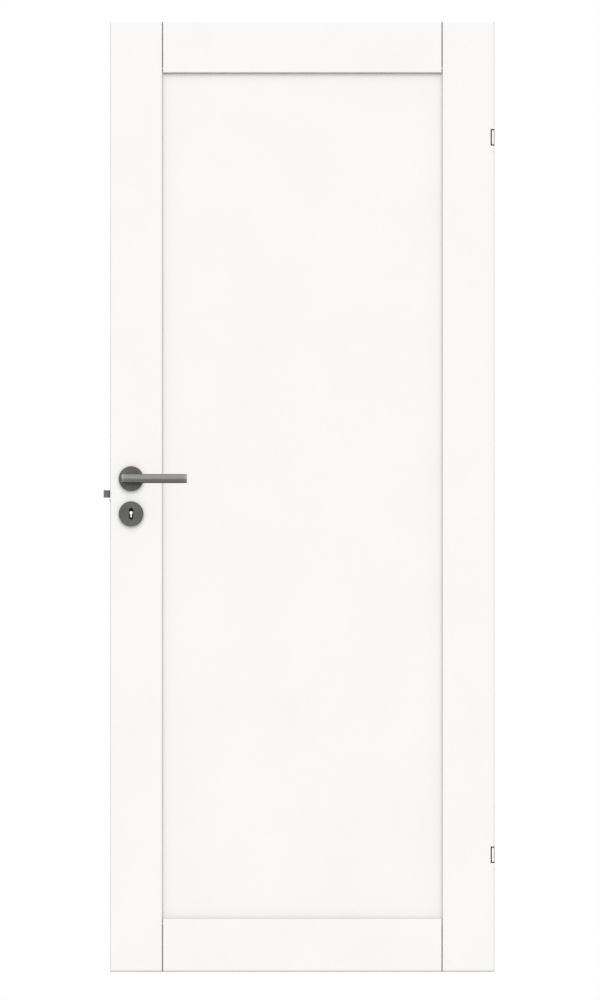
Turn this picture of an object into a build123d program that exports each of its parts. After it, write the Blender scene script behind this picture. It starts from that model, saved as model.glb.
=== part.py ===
from build123d import *

import os
from math import sqrt

# Interior door leaf: painted stiles and rails around one recessed panel, a mortise lock with levers
# and key roses on both faces, and steel hinge sockets let into the hinge edge.
# Millimetres. X runs from the lock edge to the hinge edge, Y from the front face to the back, Z up.
# The origin is at the centre of the lower hinge plate, on its outer face.

# Leaf
leaf_width = 825.0
leaf_height = 2040.0
leaf_thickness = 40.0
stile_width = 111.6
top_rail_height = 110.0
bottom_rail_height = 113.5
panel_recess = 8.0  # from each face of the frame down to the panel
groove_depth = 10.0  # the groove that holds the panel and the rails' tenons
groove_fit = 0.1  # between the panel or a tenon and each wall of the groove
groove_end_gap = 1.0  # room for movement at the bottom of the groove
arris_radius = 2.0
seam_width = 2.2  # open kerf where a rail's shoulder meets a stile
seam_depth = 8.0

# Lock
backset = 45.0  # lock edge to the spindle's axis
handle_height = 1059.0  # leaf's bottom edge to the spindle's axis
latch_drop = 33.0  # spindle's axis down to the latch bolt's middle
key_drop = 75.5  # spindle's axis down to the key rose's middle
case_thickness = 16.0
case_wall = 1.5
case_above_spindle = 32.0
case_below_key = 42.0
case_behind_spindle = 26.0
case_fit = 0.2
follower_diameter = 24.0
follower_wall = 1.6  # journal's metal outside the corners of its square hole
follower_fit = 0.2  # around the journals and beside the hub
faceplate_width = 20.0
faceplate_thickness = 3.0
faceplate_overhang = 20.0  # past the lock case at each end
faceplate_fit = 0.1
latch_height = 16.0
latch_thickness = 12.0
latch_projection = 14.0
latch_tip = 3.0  # flat left at the end of the bevel
latch_ease = 0.5
latch_tail = 27.0  # from the lock edge into the case
deadbolt_height = 22.0
deadbolt_thickness = 9.0
deadbolt_length = 31.0
bolt_fit = 0.3  # around a bolt in the faceplate
buffer_diameter = 5.6
buffer_height = 1.0
buffer_drop = 14.2  # latch bolt's middle down to the buffer stud's

# Key passage
key_head_diameter = 6.6
key_slot_width = 3.0
key_slot_drop = 9.7  # middle of the round head down to the slot's end
key_head_rise = 2.2  # key rose's middle up to the round head's
rose_slot_width = 8.9
rose_slot_height = 24.4
rose_slot_bevel = 0.4
key_bore_margin = 2.0  # the stile's hole beyond the rose's slot, all round

# Levers and roses
rose_diameter = 53.0
rose_thickness = 8.0
rose_bevel = 1.0
neck_diameter = 17.0
neck_fit = 0.2  # around the neck in its bush
bush_wall = 1.8
bush_lip = 0.6  # bush's end beyond the rose's face
bush_fit = 0.05
neck_clearance = 1.0  # neck's inner end to the leaf
grip_diameter = 19.5
grip_standoff = 50.0  # leaf's face to the grip's axis
grip_reach = 120.0  # spindle's axis to the grip's free end
grip_heel = 20.5  # spindle's axis to the grip's other end
grip_bevel = 0.8
spindle_size = 8.0
spindle_engagement = 24.0
spindle_fit = 0.05
spindle_end_gap = 0.5
spindle_bore = 20.0

# Hinges
lower_hinge_height = 251.4  # leaf's bottom edge to the lower hinge's middle
hinge_spacing = 1540.0  # between the middles of the two hinges
hinge_plate_height = 90.0
hinge_plate_width = 30.0
hinge_plate_thickness = 1.3
hinge_plate_corner = 5.0
hinge_fit = 0.1
socket_width = 8.3  # from the hinge edge into the leaf, plate included
socket_height = 35.6
socket_wall = 2.8
socket_setback = 0.5  # socket's rims behind the leaf's faces

# Places that follow from the sizes above
hinge_edge_x = 0.0
lock_edge_x = hinge_edge_x - leaf_width
opening_left_x = lock_edge_x + stile_width
opening_right_x = hinge_edge_x - stile_width
front_y = -leaf_thickness / 2
back_y = leaf_thickness / 2
lower_hinge_z = 0.0
leaf_bottom_z = lower_hinge_z - lower_hinge_height
leaf_top_z = leaf_bottom_z + leaf_height
upper_hinge_z = lower_hinge_z + hinge_spacing
opening_bottom_z = leaf_bottom_z + bottom_rail_height
opening_top_z = leaf_top_z - top_rail_height
panel_thickness = leaf_thickness - 2 * panel_recess
groove_width = panel_thickness + 2 * groove_fit
tongue_length = groove_depth - groove_end_gap
spindle_x = lock_edge_x + backset
spindle_z = leaf_bottom_z + handle_height
latch_z = spindle_z - latch_drop
key_z = spindle_z - key_drop
case_front_x = lock_edge_x + faceplate_thickness
case_back_x = spindle_x + case_behind_spindle
case_top_z = spindle_z + case_above_spindle
case_bottom_z = key_z - case_below_key
faceplate_top_z = case_top_z + faceplate_overhang
faceplate_bottom_z = case_bottom_z - faceplate_overhang
journal_diameter = spindle_size * sqrt(2) + 2 * follower_wall
socket_side = spindle_size + 2 * spindle_fit
bush_diameter = neck_diameter + 2 * (neck_fit + bush_wall)
through = 2 * leaf_thickness  # long enough for a cut right through the leaf


def block(x0, x1, y0, y1, z0, z1):
    size = (x1 - x0, y1 - y0, z1 - z0)
    centre = ((x0 + x1) / 2, (y0 + y1) / 2, (z0 + z1) / 2)
    return Pos(*centre) * Box(*size)


def along_y(outline, x, z, length):
    """A flat outline drawn in X and Z, extruded both ways along Y about the leaf's middle."""
    upright = Plane(origin=(x, 0, z), x_dir=(1, 0, 0), z_dir=(0, -1, 0))
    return extrude(upright * outline, amount=length / 2, both=True)


def edge_plate(outline, outer_x, inner_x, z):
    """A flat outline drawn in Y and Z on one of the leaf's upright edges, extruded inwards."""
    flat = Plane(origin=(outer_x, 0, z), x_dir=(0, 1, 0), z_dir=(1, 0, 0))
    return extrude(flat * outline, amount=inner_x - outer_x)


def ease_faces(board, axis=None):
    """Rounds the arrises of a board's front and back faces, or only those that run along axis."""
    faces = board.faces().sort_by(Axis.Y)
    edges = faces[0].edges() + faces[-1].edges()
    if axis is not None:
        edges = edges.filter_by(axis)
    return fillet(edges, arris_radius)


# Frame and panel
def stile(outer_x, inner_x):
    low_x, high_x = sorted((outer_x, inner_x))
    board = ease_faces(block(low_x, high_x, front_y, back_y, leaf_bottom_z, leaf_top_z))
    inwards = 1 if inner_x > outer_x else -1
    groove_low, groove_high = sorted((inner_x, inner_x - inwards * groove_depth))
    half = groove_width / 2
    return board - block(groove_low, groove_high, -half, half, leaf_bottom_z, leaf_top_z)


def rail(bottom_z, top_z, groove_up):
    board = block(opening_left_x, opening_right_x, front_y, back_y, bottom_z, top_z)
    board = ease_faces(board, Axis.X)
    half = panel_thickness / 2
    tongue_left = opening_left_x - tongue_length
    tongue_right = opening_right_x + tongue_length
    board += block(tongue_left, tongue_right, -half, half, bottom_z, top_z)
    groove = (top_z - groove_depth, top_z) if groove_up else (bottom_z, bottom_z + groove_depth)
    board -= block(tongue_left, tongue_right, -groove_width / 2, groove_width / 2, *groove)
    for left, right in (
        (opening_left_x, opening_left_x + seam_width),
        (opening_right_x - seam_width, opening_right_x),
    ):
        board -= block(left, right, front_y, front_y + seam_depth, bottom_z, top_z)
        board -= block(left, right, back_y - seam_depth, back_y, bottom_z, top_z)
    return board


def centre_panel():
    half = panel_thickness / 2
    return block(
        opening_left_x - tongue_length,
        opening_right_x + tongue_length,
        -half,
        half,
        opening_bottom_z - tongue_length,
        opening_top_z + tongue_length,
    )


def lock_stile():
    board = stile(lock_edge_x, opening_left_x)
    half = case_thickness / 2 + case_fit
    board -= block(
        lock_edge_x, case_back_x + case_fit, -half, half, case_bottom_z - case_fit, case_top_z + case_fit
    )
    board -= faceplate_blank(faceplate_fit)
    board -= along_y(Circle(spindle_bore / 2), spindle_x, spindle_z, through)
    bore = SlotOverall(
        rose_slot_height + 2 * key_bore_margin, rose_slot_width + 2 * key_bore_margin, rotation=90
    )
    return board - along_y(bore, spindle_x, key_z, through)


def hinge_stile():
    board = stile(hinge_edge_x, opening_right_x)
    for z in (lower_hinge_z, upper_hinge_z):
        board -= hinge_plate(hinge_fit, z)
        half = socket_height / 2 + hinge_fit
        notch_x = hinge_edge_x - socket_width - hinge_fit
        board -= block(notch_x, hinge_edge_x, front_y, back_y, z - half, z + half)
    return board


# Lock
def faceplate_blank(extra):
    height = faceplate_top_z - faceplate_bottom_z
    middle = (faceplate_top_z + faceplate_bottom_z) / 2
    outline = SlotOverall(height + 2 * extra, faceplate_width + 2 * extra, rotation=90)
    return edge_plate(outline, lock_edge_x, case_front_x, middle)


def bolt_aperture(z, height, thickness):
    half_y = thickness / 2 + bolt_fit
    half_z = height / 2 + bolt_fit
    return block(lock_edge_x, case_front_x, -half_y, half_y, z - half_z, z + half_z)


def lock_faceplate():
    plate = faceplate_blank(0)
    plate -= bolt_aperture(latch_z, latch_height, latch_thickness)
    return plate - bolt_aperture(key_z, deadbolt_height, deadbolt_thickness)


def keyhole():
    """A round head for the key's stem over a slot for its bit."""
    slot = Pos(0, -key_slot_drop / 2) * Rectangle(key_slot_width, key_slot_drop)
    return Circle(key_head_diameter / 2) + slot


def lock_holes():
    """The ways through the case for the follower and the key."""
    follower = Circle(journal_diameter / 2 + follower_fit)
    return [
        along_y(follower, spindle_x, spindle_z, through),
        along_y(keyhole(), spindle_x, key_z + key_head_rise, through),
    ]


def lock_case():
    half = case_thickness / 2
    cover_y = half - case_wall
    case = block(case_front_x, case_back_x, -half, cover_y, case_bottom_z, case_top_z)
    case -= block(
        case_front_x,
        case_back_x - case_wall,
        -cover_y,
        cover_y,
        case_bottom_z + case_wall,
        case_top_z - case_wall,
    )
    return case - lock_holes()


def lock_cover():
    half = case_thickness / 2
    cover = block(case_front_x, case_back_x, half - case_wall, half, case_bottom_z, case_top_z)
    return cover - lock_holes()


def lock_follower():
    """The hub that the spindle turns, with a journal at each end."""
    hub_length = case_thickness - 2 * (case_wall + follower_fit)
    hub = along_y(Circle(follower_diameter / 2), spindle_x, spindle_z, hub_length)
    hub += along_y(Circle(journal_diameter / 2), spindle_x, spindle_z, case_thickness)
    return hub - along_y(Rectangle(socket_side, socket_side), spindle_x, spindle_z, through)


def latch_bolt():
    tip_x = lock_edge_x - latch_projection
    tail_x = lock_edge_x + latch_tail
    flat_y = -latch_thickness / 2
    bevel_y = latch_thickness / 2
    outline = Polyline(
        (tip_x, flat_y),
        (tail_x, flat_y),
        (tail_x, bevel_y),
        (lock_edge_x, bevel_y),
        (tip_x, flat_y + latch_tip),
        close=True,
    )
    low = Plane.XY.offset(latch_z - latch_height / 2)
    bolt = extrude(low * make_face(outline), amount=latch_height)
    return chamfer(bolt.faces().sort_by(Axis.X)[0].edges(), latch_ease)


def deadbolt():
    half_y = deadbolt_thickness / 2
    half_z = deadbolt_height / 2
    return block(
        lock_edge_x, lock_edge_x + deadbolt_length, -half_y, half_y, key_z - half_z, key_z + half_z
    )


def latch_buffer():
    stud = Plane(origin=(lock_edge_x, 0, latch_z - buffer_drop), z_dir=(-1, 0, 0))
    return extrude(stud * Circle(buffer_diameter / 2), amount=buffer_height)


# Levers and roses, made for the front face
def front_turning(profile, z):
    """Turns a half-profile, drawn as radius and height above the front face, about the rose's axis."""
    section = Plane(origin=(spindle_x, front_y, z), x_dir=(1, 0, 0), z_dir=(0, 0, 1))
    outline = Polyline(*[(radius, -height) for radius, height in profile], close=True)
    axis = Axis((spindle_x, front_y, z), (0, -1, 0))
    return revolve(section * make_face(outline), axis)


def front_rose(bore_radius, z):
    rim = rose_diameter / 2
    profile = [
        (bore_radius, 0),
        (rim, 0),
        (rim, rose_thickness - rose_bevel),
        (rim - rose_bevel, rose_thickness),
        (bore_radius, rose_thickness),
    ]
    return front_turning(profile, z)


def front_lever_rose():
    return front_rose(bush_diameter / 2 + bush_fit, spindle_z)


def front_neck_bush():
    inner = neck_diameter / 2 + neck_fit
    outer = bush_diameter / 2
    height = rose_thickness + bush_lip
    return front_turning([(inner, 0), (outer, 0), (outer, height), (inner, height)], spindle_z)


def front_key_rose():
    slot = SlotOverall(rose_slot_height, rose_slot_width, rotation=90)
    rose = front_rose(0, key_z) - along_y(slot, spindle_x, key_z, through + 2 * rose_thickness)
    mouth = rose.faces().sort_by(Axis.Y)[0].inner_wires()[0].edges()
    return chamfer(mouth, rose_slot_bevel)


def front_lever():
    grip_y = front_y - grip_standoff
    grip_plane = Plane(origin=(spindle_x - grip_heel, grip_y, spindle_z), z_dir=(1, 0, 0))
    grip = extrude(grip_plane * Circle(grip_diameter / 2), amount=grip_heel + grip_reach)
    grip = chamfer(grip.edges().filter_by(GeomType.CIRCLE), grip_bevel)
    neck_y = front_y - neck_clearance
    neck_plane = Plane(origin=(spindle_x, neck_y, spindle_z), x_dir=(1, 0, 0), z_dir=(0, -1, 0))
    neck = extrude(neck_plane * Circle(neck_diameter / 2), amount=neck_y - grip_y)
    square = neck_plane * Rectangle(socket_side, socket_side)
    return grip + neck - extrude(square, amount=spindle_engagement + spindle_end_gap)


def spindle():
    half = spindle_size / 2
    end_y = back_y + neck_clearance + spindle_engagement
    return block(
        spindle_x - half, spindle_x + half, -end_y, end_y, spindle_z - half, spindle_z + half
    )


def on_back(piece):
    return mirror(piece, about=Plane.XZ)


# Hinges
def hinge_plate(extra, z):
    outline = RectangleRounded(
        hinge_plate_width + 2 * extra, hinge_plate_height + 2 * extra, hinge_plate_corner + extra
    )
    return edge_plate(outline, hinge_edge_x, hinge_edge_x - hinge_plate_thickness, z)


def hinge_socket(z):
    plate_x = hinge_edge_x - hinge_plate_thickness
    back_x = hinge_edge_x - socket_width
    half_z = socket_height / 2
    rim_y = back_y - socket_setback
    strap = block(back_x, plate_x, -rim_y, rim_y, z - half_z, z + half_z)
    half_gap = half_z - socket_wall
    strap -= block(back_x + socket_wall, plate_x, -rim_y, rim_y, z - half_gap, z + half_gap)
    return hinge_plate(0, z) + strap


lever = front_lever()
lever_rose = front_lever_rose()
neck_bush = front_neck_bush()
key_rose = front_key_rose()

pieces = {
    "lock_stile": lock_stile(),
    "hinge_stile": hinge_stile(),
    "top_rail": rail(opening_top_z, leaf_top_z, groove_up=False),
    "bottom_rail": rail(leaf_bottom_z, opening_bottom_z, groove_up=True),
    "centre_panel": centre_panel(),
    "lock_case": lock_case(),
    "lock_cover": lock_cover(),
    "lock_follower": lock_follower(),
    "lock_faceplate": lock_faceplate(),
    "latch_bolt": latch_bolt(),
    "deadbolt": deadbolt(),
    "latch_buffer": latch_buffer(),
    "front_lever_rose": lever_rose,
    "back_lever_rose": on_back(lever_rose),
    "front_neck_bush": neck_bush,
    "back_neck_bush": on_back(neck_bush),
    "front_key_rose": key_rose,
    "back_key_rose": on_back(key_rose),
    "front_lever": lever,
    "back_lever": on_back(lever),
    "spindle": spindle(),
    "lower_hinge_socket": hinge_socket(lower_hinge_z),
    "upper_hinge_socket": hinge_socket(upper_hinge_z),
}

os.makedirs("parts", exist_ok=True)
for name, piece in pieces.items():
    export_step(piece, f"parts/{name}.step")
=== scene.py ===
import math

import bpy
from mathutils import Matrix, Vector


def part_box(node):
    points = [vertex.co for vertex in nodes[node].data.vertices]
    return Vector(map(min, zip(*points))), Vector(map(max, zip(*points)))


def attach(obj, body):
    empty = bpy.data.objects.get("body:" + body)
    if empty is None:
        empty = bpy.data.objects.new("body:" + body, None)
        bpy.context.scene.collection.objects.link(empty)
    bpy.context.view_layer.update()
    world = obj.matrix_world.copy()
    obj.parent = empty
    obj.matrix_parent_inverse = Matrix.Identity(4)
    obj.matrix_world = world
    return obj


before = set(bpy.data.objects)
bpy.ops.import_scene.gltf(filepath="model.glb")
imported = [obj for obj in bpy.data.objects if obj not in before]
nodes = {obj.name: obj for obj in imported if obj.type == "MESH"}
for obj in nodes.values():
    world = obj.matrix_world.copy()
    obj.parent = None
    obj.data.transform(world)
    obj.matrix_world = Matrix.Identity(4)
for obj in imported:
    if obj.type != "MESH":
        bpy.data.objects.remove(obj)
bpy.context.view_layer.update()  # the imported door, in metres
bpy.ops.object.select_all(action="DESELECT")

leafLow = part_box("lock_stile")[0]  # lock edge, front face, bottom
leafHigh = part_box("hinge_stile")[1]  # hinge edge, back face, top
leafCentre = (leafLow + leafHigh) / 2


def middleOf(node):
    low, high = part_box(node)
    return (low + high) / 2


spindleAxis = middleOf("spindle")
keyAxis = middleOf("front_key_rose")
print("frame loaded,", len(nodes), "nodes")


# camera: straight on, no perspective
photoView = {
    "pixel": 0.0021466,  # metres of door to one pixel
    "frame": (600, 1000),
    "leafCentre": (302.3, 496.7),  # pixel on which the leaf is centred
    "distance": 4.0,
}


def addCamera(view):
    right = (view["frame"][0] / 2 - view["leafCentre"][0]) * view["pixel"]
    up = (view["leafCentre"][1] - view["frame"][1] / 2) * view["pixel"]
    place = (leafCentre.x + right, leafLow.y - view["distance"], leafCentre.z + up)
    bpy.ops.object.camera_add(location=place, rotation=(math.radians(90), 0, 0))
    camera = bpy.context.object
    camera.data.type = "ORTHO"
    camera.data.ortho_scale = view["frame"][1] * view["pixel"]
    bpy.context.scene.camera = camera


addCamera(photoView)
print("camera set")


# for the surround's nodes and the finishes' alike
def axesOf(tree, coords):  # X, Y and Z of a node's vector, by name
    split = tree.nodes.new("ShaderNodeSeparateXYZ")
    tree.links.new(coords, split.inputs["Vector"])
    return split.outputs


def joined(tree, how, first, second):
    both = tree.nodes.new("ShaderNodeMath")
    both.operation = how
    tree.links.new(first, both.inputs[0])
    tree.links.new(second, both.inputs[1])
    return both.outputs["Value"]


# studio: white surround, a broad lamp before each face of the leaf, pale floor
studio = {
    "fillOverhead": 0.20,  # what the surround gives to matt surfaces, from straight above
    "fillLow": 0.56,  # and from the horizon down
    "frontLamp": {"energy": 2.30, "height": 42, "spread": 60},  # degrees; broad, for soft shadows
    "backLamp": {"energy": 1.80, "height": 20, "spread": 60},
    "roseLamp": {"energy": 0.33, "height": 15, "spread": 30},  # on the roses alone
    "lampDistance": 3.0,
    "floorGap": 0.010,
    "floorSize": 40.0,
    "floorColor": (0.55, 0.55, 0.54, 1),
}


def addSurround(light):
    world = bpy.data.worlds.new("whiteSurround")
    world.use_nodes = True
    world.cycles.sampling_method = "NONE"  # each surface finds it by its own rays
    tree = world.node_tree
    background = tree.nodes["Background"]
    background.inputs["Color"].default_value = (1, 1, 1, 1)
    heading = axesOf(tree, tree.nodes.new("ShaderNodeTexCoord").outputs["Generated"])
    fill = tree.nodes.new("ShaderNodeMapRange")
    fill.inputs["To Min"].default_value = light["fillLow"]
    fill.inputs["To Max"].default_value = light["fillOverhead"]
    tree.links.new(heading["Z"], fill.inputs["Value"])
    rays = tree.nodes.new("ShaderNodeLightPath")
    seen = rays.outputs["Is Camera Ray"]
    for kind in ("Is Glossy Ray", "Is Transmission Ray"):
        seen = joined(tree, "MAXIMUM", seen, rays.outputs[kind])
    strength = tree.nodes.new("ShaderNodeMapRange")
    strength.inputs["To Max"].default_value = 1.0  # plain white where it is seen
    tree.links.new(seen, strength.inputs["Value"])
    tree.links.new(fill.outputs["Result"], strength.inputs["To Min"])
    tree.links.new(strength.outputs["Result"], background.inputs["Strength"])
    bpy.context.scene.world = world


def addLamp(kind, side, distance):  # side -1 is before the front face, 1 behind the back face
    height = math.radians(kind["height"])
    towards = Vector((0, side * math.cos(height), math.sin(height)))
    bpy.ops.object.light_add(type="SUN", location=leafCentre + towards * distance)
    lamp = bpy.context.object
    lamp.rotation_euler = towards.to_track_quat("Z", "Y").to_euler()
    lamp.data.energy = kind["energy"]
    lamp.data.angle = math.radians(kind["spread"])
    return lamp


def lampGroup(name, nodeNames, state):
    group = bpy.data.collections.new(name)
    for node in nodeNames:
        group.objects.link(nodes[node])
    for member in group.collection_objects:
        member.light_linking.link_state = state
    return group


def addLamps(light):
    levers = ("front_lever", "back_lever")
    roses = ("front_lever_rose", "back_lever_rose", "front_key_rose", "back_key_rose")
    shadeless = lampGroup("leversCastNoShade", levers, "EXCLUDE")
    satin = lampGroup("rosesInLamplight", roses, "INCLUDE")
    for broad, side in (("frontLamp", -1), ("backLamp", 1)):
        lamp = addLamp(light[broad], side, light["lampDistance"])
        lamp.visible_glossy = False  # metal shows the white surround, not the lamp
        lamp.light_linking.blocker_collection = shadeless  # no lever's shadow on the paint
        lamp = addLamp(light["roseLamp"], side, light["lampDistance"])
        lamp.light_linking.receiver_collection = satin  # a rose is darker below its lever
    for lever in levers:
        nodes[lever].visible_diffuse = False  # nor a lever's shade from the surround


def addFloor(light):
    place = (leafCentre.x, 0, leafLow.z - light["floorGap"])
    bpy.ops.mesh.primitive_plane_add(size=light["floorSize"], location=place)
    floor = bpy.context.object
    floor.name = "studioFloor"
    floor.visible_diffuse = False  # the low fill passes through it
    floor.visible_shadow = False
    matt = bpy.data.materials.new("paleFloor")
    matt.use_nodes = True
    shader = matt.node_tree.nodes["Principled BSDF"]
    shader.inputs["Base Color"].default_value = light["floorColor"]
    shader.inputs["Roughness"].default_value = 1.0
    shader.inputs["Specular IOR Level"].default_value = 0.0
    floor.data.materials.append(matt)


bpy.context.scene.view_settings.view_transform = "Standard"
bpy.context.scene.cycles.diffuse_bounces = 0  # corners of the white leaf stay shaded
addSurround(studio)
addLamps(studio)
addFloor(studio)
print("studio lit")


# small helpers for the finishes, all on Object coordinates
noiseRange = (0.3, 0.7)  # between which nearly all of a noise lies


def startFinish(name, metallic=0.0):
    finish = bpy.data.materials.new(name)
    finish.use_nodes = True
    tree = finish.node_tree
    shader = tree.nodes["Principled BSDF"]
    shader.inputs["Metallic"].default_value = metallic
    coords = tree.nodes.new("ShaderNodeTexCoord").outputs["Object"]
    return finish, tree, shader, coords


def cloudiness(tree, coords, perMetre, detail=3.0):
    mapping = tree.nodes.new("ShaderNodeMapping")
    mapping.inputs["Scale"].default_value = perMetre
    noise = tree.nodes.new("ShaderNodeTexNoise")
    noise.inputs["Scale"].default_value = 1.0
    noise.inputs["Detail"].default_value = detail
    tree.links.new(coords, mapping.inputs["Vector"])
    tree.links.new(mapping.outputs["Vector"], noise.inputs["Vector"])
    return noise.outputs["Fac"]


def spread(tree, value, low, high):
    ranged = tree.nodes.new("ShaderNodeMapRange")
    ranged.inputs["From Min"].default_value = noiseRange[0]
    ranged.inputs["From Max"].default_value = noiseRange[1]
    ranged.inputs["To Min"].default_value = low
    ranged.inputs["To Max"].default_value = high
    tree.links.new(value, ranged.inputs["Value"])
    return ranged.outputs["Result"]


def shade(tree, value, dark, light):
    ramp = tree.nodes.new("ShaderNodeValToRGB")
    for stop, position, color in zip(ramp.color_ramp.elements, noiseRange, (dark, light)):
        stop.position = position
        stop.color = (*color, 1)
    tree.links.new(value, ramp.inputs["Fac"])
    return ramp.outputs["Color"]


def compared(tree, place, how, limit):
    test = tree.nodes.new("ShaderNodeMath")
    test.operation = how
    test.inputs[1].default_value = limit
    tree.links.new(place, test.inputs[0])
    return test.outputs["Value"]


def distanceFrom(tree, place, middle):
    along = tree.nodes.new("ShaderNodeMath")
    along.operation = "SUBTRACT"
    along.inputs[1].default_value = middle
    tree.links.new(place, along.inputs[0])
    length = tree.nodes.new("ShaderNodeMath")
    length.operation = "ABSOLUTE"
    tree.links.new(along.outputs["Value"], length.inputs[0])
    return length.outputs["Value"]


def mixed(tree, share, first, second):
    blend = tree.nodes.new("ShaderNodeMixRGB")
    tree.links.new(share, blend.inputs["Fac"])
    tree.links.new(first, blend.inputs["Color1"])
    tree.links.new(second, blend.inputs["Color2"])
    return blend.outputs["Color"]


def past(tree, place, start, end):  # 0 up to start, 1 from end on, smooth between them
    ranged = tree.nodes.new("ShaderNodeMapRange")
    ranged.interpolation_type = "SMOOTHSTEP"
    ranged.inputs["From Min"].default_value = start
    ranged.inputs["From Max"].default_value = end
    tree.links.new(place, ranged.inputs["Value"])
    return ranged.outputs["Result"]


def tint(tree, shader, share, color):  # lays a colour over what the shader already has
    over = tree.nodes.new("ShaderNodeMixRGB")
    over.inputs["Color2"].default_value = (*color, 1)
    under = shader.inputs["Base Color"].links[0].from_socket
    tree.links.new(share, over.inputs["Fac"])
    tree.links.new(under, over.inputs["Color1"])
    tree.links.new(over.outputs["Color"], shader.inputs["Base Color"])


def addRelief(tree, shader, height, depth):
    bump = tree.nodes.new("ShaderNodeBump")
    bump.inputs["Distance"].default_value = depth
    tree.links.new(height, bump.inputs["Height"])
    tree.links.new(bump.outputs["Normal"], shader.inputs["Normal"])


def wearPattern(tree, shader, pattern, look):
    tree.links.new(shade(tree, pattern, look["dark"], look["light"]), shader.inputs["Base Color"])
    tree.links.new(spread(tree, pattern, *look["sheen"]), shader.inputs["Roughness"])
    addRelief(tree, shader, pattern, look["depth"])


def dress(finish, *names):
    for name in names:
        for slot in nodes[name].material_slots:
            slot.material = finish


# sprayed satin paint on the leaf, with painted shade along its side and bottom edges
paint = {
    "dark": (0.930, 0.913, 0.896),
    "light": (0.945, 0.928, 0.911),
    "cloudPerMetre": 5,
    "peelPerMetre": 650,  # the spray's fine orange peel
    "peelDetail": 1.5,
    "peelDepth": 0.00002,
    "sheen": (0.38, 0.48),
    "arris": 0.0022,  # width of the painted shade on the leaf's side edges, a shade greyer
    "arrisShade": (0.80, 0.786, 0.772),
    "arrisShadeLess": (0.85, 0.835, 0.819),
    "arrisShadePerMetre": 14,
    "footShadeHeight": 0.0036,  # painted shade: a darker line along the bottom edge
    "paintedFootShade": (0.72, 0.707, 0.694),
}


def satinPaint(look):
    finish, tree, shader, coords = startFinish("satinPaint")
    clouds = cloudiness(tree, coords, (look["cloudPerMetre"],) * 3)
    plain = shade(tree, clouds, look["dark"], look["light"])
    # painted shade on the side edges' arrises: greyer, uneven along them
    arrisShadeNoise = cloudiness(tree, coords, (look["arrisShadePerMetre"],) * 3)
    paintedArrisShade = shade(tree, arrisShadeNoise, look["arrisShade"], look["arrisShadeLess"])
    place = axesOf(tree, coords)
    half = (leafHigh - leafLow) / 2
    across = distanceFrom(tree, place["X"], leafCentre.x)
    through = distanceFrom(tree, place["Y"], leafCentre.y)
    bySide = compared(tree, across, "GREATER_THAN", half.x - look["arris"])
    byFace = compared(tree, through, "GREATER_THAN", half.y - look["arris"])
    arrisShadeMask = joined(tree, "MULTIPLY", bySide, byFace)
    tree.links.new(mixed(tree, arrisShadeMask, plain, paintedArrisShade), shader.inputs["Base Color"])
    # painted shade along the bottom edge, on the faces
    low = compared(tree, place["Z"], "LESS_THAN", leafLow.z + look["footShadeHeight"])
    tint(tree, shader, joined(tree, "MULTIPLY", low, byFace), look["paintedFootShade"])
    peel = cloudiness(tree, coords, (look["peelPerMetre"],) * 3, look["peelDetail"])
    tree.links.new(spread(tree, peel, *look["sheen"]), shader.inputs["Roughness"])
    addRelief(tree, shader, peel, look["peelDepth"])
    return finish


dress(satinPaint(paint), "lock_stile", "hinge_stile", "top_rail", "bottom_rail", "centre_panel")
print("leaf painted")


# brushed stainless lever: lines along the grip, rings about the neck; painted highlight at the grip's ends,
# painted shade beneath it
leverSteel = {
    "dark": (0.28, 0.28, 0.276),
    "light": (0.36, 0.36, 0.355),
    "gripLinesPerMetre": (18, 4200, 4200),
    "neckRingsPerMetre": (60, 4200, 60),
    "sheen": (0.22, 0.32),
    "depth": 0.000003,
    "edgeTint": (0.35, 0.35, 0.35, 1),  # steel darkens where it turns away
    "paintedEndHighlight": (0.44, 0.44, 0.435),  # painted highlight, brighter towards the grip's ends
    "endHighlightReach": 0.009,
    "paintedUnderShade": (0.085, 0.085, 0.084),  # painted shade on the grip's underside
    "underShadeFrom": (0.0068, 0.0082),  # below the grip's axis
    "endBevel": 0.0008,  # the grip's end faces stay bright, without the painted shade
}


def leverFinish(look):
    finish, tree, shader, coords = startFinish("brushedLever", metallic=1.0)
    shader.inputs["Specular Tint"].default_value = look["edgeTint"]
    gripLow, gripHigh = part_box("front_lever")
    gripBack = -(gripLow.y + (gripHigh.z - gripLow.z))  # leaf's middle to the grip's near side
    place = axesOf(tree, coords)
    through = distanceFrom(tree, place["Y"], leafCentre.y)
    either = tree.nodes.new("ShaderNodeMix")
    tree.links.new(compared(tree, through, "GREATER_THAN", gripBack), either.inputs["Factor"])
    tree.links.new(cloudiness(tree, coords, look["neckRingsPerMetre"]), either.inputs["A"])
    tree.links.new(cloudiness(tree, coords, look["gripLinesPerMetre"]), either.inputs["B"])
    wearPattern(tree, shader, either.outputs["Result"], look)
    gripMiddle = (gripLow.x + gripHigh.x) / 2
    gripHalf = (gripHigh.x - gripLow.x) / 2
    along = distanceFrom(tree, place["X"], gripMiddle)
    # painted highlight towards the grip's ends
    tint(tree, shader, past(tree, along, gripHalf - look["endHighlightReach"], gripHalf), look["paintedEndHighlight"])
    # painted shade on the grip's underside, clear of its end faces
    start, end = (spindleAxis.z - drop for drop in look["underShadeFrom"])
    below = past(tree, place["Z"], start, end)
    between = compared(tree, along, "LESS_THAN", gripHalf - look["endBevel"])
    tint(tree, shader, joined(tree, "MULTIPLY", below, between), look["paintedUnderShade"])
    return finish


dress(leverFinish(leverSteel), "front_lever", "back_lever")


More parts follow.
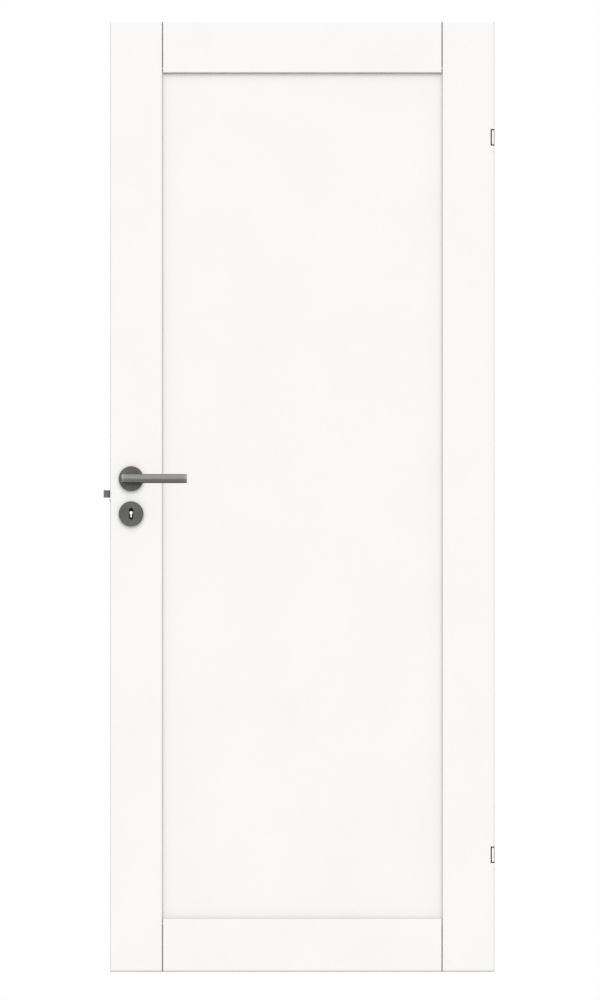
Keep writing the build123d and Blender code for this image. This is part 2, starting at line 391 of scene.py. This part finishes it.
# plain steels: fine lines or an even grain
edgeSteel = {
    "dark": (0.20, 0.20, 0.20),
    "light": (0.26, 0.26, 0.26),
    "linesPerMetre": (1800, 1800, 30),
    "sheen": (0.40, 0.52),
    "depth": 0.00001,
}
hingeSteel = {
    "dark": (0.020, 0.020, 0.021),
    "light": (0.036, 0.036, 0.038),
    "linesPerMetre": (350, 350, 350),
    "sheen": (0.35, 0.55),
    "depth": 0.00002,
}
caseSteel = {
    "dark": (0.030, 0.030, 0.031),
    "light": (0.050, 0.050, 0.052),
    "linesPerMetre": (300, 300, 300),
    "sheen": (0.40, 0.60),
    "depth": 0.00002,
}
screwSteel = {
    "dark": (0.26, 0.26, 0.258),
    "light": (0.34, 0.34, 0.338),
    "linesPerMetre": (1400, 1400, 1400),
    "sheen": (0.26, 0.42),
    "depth": 0.000005,
}


def linedSteel(name, look):
    finish, tree, shader, coords = startFinish(name, metallic=1.0)
    wearPattern(tree, shader, cloudiness(tree, coords, look["linesPerMetre"]), look)
    return finish


# painted shade on the latch bolt, darker next to the leaf's edge
latchEdgeShade = {
    "color": (0.14, 0.14, 0.138),
    "reach": (0.0030, 0.0018),  # out from the leaf's edge, where the bolt leaves the faceplate
}


def latchWithEdgeShade(look, edgeShade):
    finish = linedSteel("latchSteelPaintedShade", look)
    tree = finish.node_tree
    place = axesOf(tree, tree.nodes["Texture Coordinate"].outputs["Object"])
    # painted shade where the bolt leaves the faceplate
    start, end = (leafLow.x - reach for reach in edgeShade["reach"])
    tint(tree, tree.nodes["Principled BSDF"], past(tree, place["X"], start, end), edgeShade["color"])
    return finish


dullCase = linedSteel("dullCaseSteel", caseSteel)
brightScrew = linedSteel("platedScrewSteel", screwSteel)
dress(linedSteel("satinEdgeSteel", edgeSteel), "lock_faceplate", "deadbolt", "spindle")
dress(latchWithEdgeShade(edgeSteel, latchEdgeShade), "latch_bolt")
dress(linedSteel("darkHingeSteel", hingeSteel), "lower_hinge_socket", "upper_hinge_socket")
dress(dullCase, "lock_case", "lock_cover", "lock_follower")


# spun steel: fine rings about a rose's own axis
roseSteel = {
    "dark": (0.090, 0.090, 0.088),
    "light": (0.170, 0.170, 0.167),
    "ringsPerMetre": 2600,
    "ringDetail": 3.0,
    "cloudPerMetre": 32,
    "cloudDetail": 0.5,
    "cloudShare": 0.5,  # clouds against rings
    "sheen": (0.38, 0.50),
    "depth": 0.000006,
}


def spunSteel(name, look, axis):
    finish, tree, shader, coords = startFinish(name, metallic=1.0)
    centred = tree.nodes.new("ShaderNodeMapping")
    centred.inputs["Location"].default_value = (-axis.x, 0, -axis.z)
    flat = tree.nodes.new("ShaderNodeVectorMath")
    flat.operation = "MULTIPLY"
    flat.inputs[1].default_value = (1, 0, 1)
    radius = tree.nodes.new("ShaderNodeVectorMath")
    radius.operation = "LENGTH"
    rings = tree.nodes.new("ShaderNodeTexNoise")
    rings.noise_dimensions = "1D"
    rings.inputs["Scale"].default_value = look["ringsPerMetre"]
    rings.inputs["Detail"].default_value = look["ringDetail"]
    tree.links.new(coords, centred.inputs["Vector"])
    tree.links.new(centred.outputs["Vector"], flat.inputs[0])
    tree.links.new(flat.outputs["Vector"], radius.inputs[0])
    tree.links.new(radius.outputs["Value"], rings.inputs["W"])
    clouds = cloudiness(tree, coords, (look["cloudPerMetre"],) * 3, look["cloudDetail"])
    uneven = tree.nodes.new("ShaderNodeMix")
    uneven.inputs["Factor"].default_value = look["cloudShare"]
    tree.links.new(rings.outputs["Fac"], uneven.inputs["A"])
    tree.links.new(clouds, uneven.inputs["B"])
    wearPattern(tree, shader, uneven.outputs["Result"], look)
    return finish


dress(spunSteel("spunLeverRose", roseSteel, spindleAxis), "front_lever_rose", "back_lever_rose")
dress(spunSteel("spunKeyRose", roseSteel, keyAxis), "front_key_rose", "back_key_rose")


# moulded nylon: the neck bushes and the latch's buffer stud
nylon = {
    "dark": (0.17, 0.17, 0.17),
    "light": (0.21, 0.21, 0.21),
    "grainPerMetre": 900,
    "sheen": (0.50, 0.62),
    "depth": 0.00002,
}


def mouldedNylon(look):
    finish, tree, shader, coords = startFinish("greyNylon")
    wearPattern(tree, shader, cloudiness(tree, coords, (look["grainPerMetre"],) * 3), look)
    return finish


dress(mouldedNylon(nylon), "front_neck_bush", "back_neck_bush", "latch_buffer")
print("fittings finished")


# screws: an almost flush head whose recess is painted dark as shade, modelled standing on Z and then turned
# to its face
plateScrew = {
    "head": 0.0076,  # across the head
    "proud": 0.00016,
    "sunk": 0.0006,
    "dome": 0.0001,
    "recess": 0.0044,  # across the cross
    "blade": 0.0011,
    "recessDepth": 0.00014,
    "fromPlateEnd": 0.0100,
    "upperTurn": 0.35,  # radians; as the screwdriver left them
    "lowerTurn": -0.20,
}
hingeScrew = {
    "head": 0.0080,
    "proud": 0.00016,
    "sunk": 0.0005,
    "dome": 0.0001,
    "recess": 0.0046,
    "blade": 0.0011,
    "recessDepth": 0.00014,
    "fromMiddle": 0.0310,
    "upperTurn": 0.55,
    "lowerTurn": 0.15,
}
grubScrew = {
    "head": 0.0050,
    "proud": 0.0003,
    "sunk": 0.0020,
    "dome": 0.0004,
    "recess": 0.0029,  # across the corners of its hexagon
    "recessDepth": 0.0018,
    "fromLeafMiddle": 0.0420,
    "aboveBush": 0.0020,  # bush's underside up to the neck's
}
screwMaking = {
    "sides": 48,
    "domeSteps": 5,
    "flatEnd": 0.9,  # a face whose normal is nearer than this to the screw's axis is an end
    "crossTaper": 0.9,  # the recess narrows as it goes in
    "hexagonTaper": 0.8,
    "smoothBelow": 35,  # degrees
}


def isTop(face):
    return face.normal.z > screwMaking["flatEnd"]


def isBottom(face):
    return face.normal.z < -screwMaking["flatEnd"]


def editFaces(piece, chosen):
    bpy.ops.object.select_all(action="DESELECT")
    piece.select_set(True)
    bpy.context.view_layer.objects.active = piece
    bpy.ops.object.mode_set(mode="EDIT")
    bpy.ops.mesh.select_mode(type="FACE")
    bpy.ops.mesh.select_all(action="DESELECT")
    bpy.ops.object.mode_set(mode="OBJECT")
    for face in piece.data.polygons:
        face.select = chosen(face)
    bpy.ops.object.mode_set(mode="EDIT")


def cutAway(piece, cutter):
    bpy.context.view_layer.objects.active = piece
    cut = piece.modifiers.new("recess", "BOOLEAN")
    cut.object = cutter
    cut.solver = "EXACT"
    bpy.ops.object.modifier_apply(modifier=cut.name)
    bpy.data.objects.remove(cutter, do_unlink=True)


def domedHead(look):
    depth = look["proud"] + look["sunk"]
    bpy.ops.mesh.primitive_cylinder_add(
        vertices=screwMaking["sides"],
        radius=look["head"] / 2,
        depth=depth,
        location=(0, 0, look["proud"] - depth / 2),
    )
    head = bpy.context.object
    bpy.ops.object.transform_apply(location=True, rotation=True, scale=True)
    editFaces(head, isTop)
    bpy.ops.mesh.bevel(offset=look["dome"], segments=screwMaking["domeSteps"], profile=0.5, affect="EDGES")
    bpy.ops.object.mode_set(mode="OBJECT")
    return head


def taperBottom(cutter, share):
    editFaces(cutter, isBottom)
    bpy.ops.transform.resize(value=(share, share, 1))
    bpy.ops.object.mode_set(mode="OBJECT")


def cutCross(head, look):
    for turn in (0, math.pi / 2):
        bpy.ops.mesh.primitive_cube_add(size=1, location=(0, 0, look["proud"]))
        blade = bpy.context.object
        blade.scale = (look["recess"], look["blade"], 2 * look["recessDepth"])
        blade.rotation_euler = (0, 0, turn)
        bpy.ops.object.transform_apply(location=False, rotation=True, scale=True)
        taperBottom(blade, screwMaking["crossTaper"])
        cutAway(head, blade)


def cutHexagon(head, look):
    bpy.ops.mesh.primitive_cylinder_add(
        vertices=6, radius=look["recess"] / 2, depth=2 * look["recessDepth"], location=(0, 0, look["proud"])
    )
    key = bpy.context.object
    taperBottom(key, screwMaking["hexagonTaper"])
    cutAway(head, key)


def paintRecessShade(head, look):
    head.data.materials.clear()
    head.data.materials.append(brightScrew)
    head.data.materials.append(dullCase)
    margin = look["recessDepth"] / 10  # keeps the head's own ends bright
    lowest = margin - look["sunk"]
    highest = look["proud"] - margin
    # painted shade: the recess's faces take the dark case steel
    for face in head.data.polygons:
        inside = face.center.xy.length < look["recess"] / 2 and lowest < face.center.z < highest
        face.material_index = 1 if inside else 0


def screwPattern(look, cutRecess):
    pattern = domedHead(look)
    cutRecess(pattern, look)
    paintRecessShade(pattern, look)
    return pattern


def setScrew(pattern, name, place, outward, turn, body):
    bpy.ops.object.select_all(action="DESELECT")
    pattern.select_set(True)
    bpy.context.view_layer.objects.active = pattern
    bpy.ops.object.duplicate(linked=False)
    screw = bpy.context.object
    screw.name = name
    screw.data.name = name
    facing = Vector(outward).to_track_quat("Z", "Y").to_matrix().to_4x4()
    screw.matrix_world = Matrix.Translation(place) @ facing @ Matrix.Rotation(turn, 4, "Z")
    bpy.ops.object.transform_apply(location=True, rotation=True, scale=True)
    bpy.ops.object.shade_smooth_by_angle(angle=math.radians(screwMaking["smoothBelow"]))
    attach(screw, body)


def dropPattern(pattern):
    bpy.data.objects.remove(pattern, do_unlink=True)


def addPlateScrews(look):
    pattern = screwPattern(look, cutCross)
    low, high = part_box("lock_faceplate")
    for end, z in (("upper", high.z - look["fromPlateEnd"]), ("lower", low.z + look["fromPlateEnd"])):
        place = Vector((low.x, 0, z))
        setScrew(pattern, end + "_plate_screw", place, (-1, 0, 0), look[end + "Turn"], "leaf")
    dropPattern(pattern)


def addHingeScrews(look):
    pattern = screwPattern(look, cutCross)
    for hinge in ("lower", "upper"):
        middle = middleOf(hinge + "_hinge_socket")
        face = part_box(hinge + "_hinge_socket")[1].x
        for end, side in (("top", 1), ("bottom", -1)):
            place = Vector((face, 0, middle.z + side * look["fromMiddle"]))
            turn = side * look[hinge + "Turn"]
            setScrew(pattern, hinge + "_hinge_screw_" + end, place, (1, 0, 0), turn, "leaf")
    dropPattern(pattern)


def addGrubScrews(look):
    pattern = screwPattern(look, cutHexagon)
    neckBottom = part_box("front_neck_bush")[0].z + look["aboveBush"]
    for name, side in (("front_grub_screw", -1), ("back_grub_screw", 1)):
        place = Vector((spindleAxis.x, side * look["fromLeafMiddle"], neckBottom))
        setScrew(pattern, name, place, (0, 0, -1), 0, "levers")
    dropPattern(pattern)


addPlateScrews(plateScrew)
addHingeScrews(hingeScrew)
addGrubScrews(grubScrew)
print("screws set")
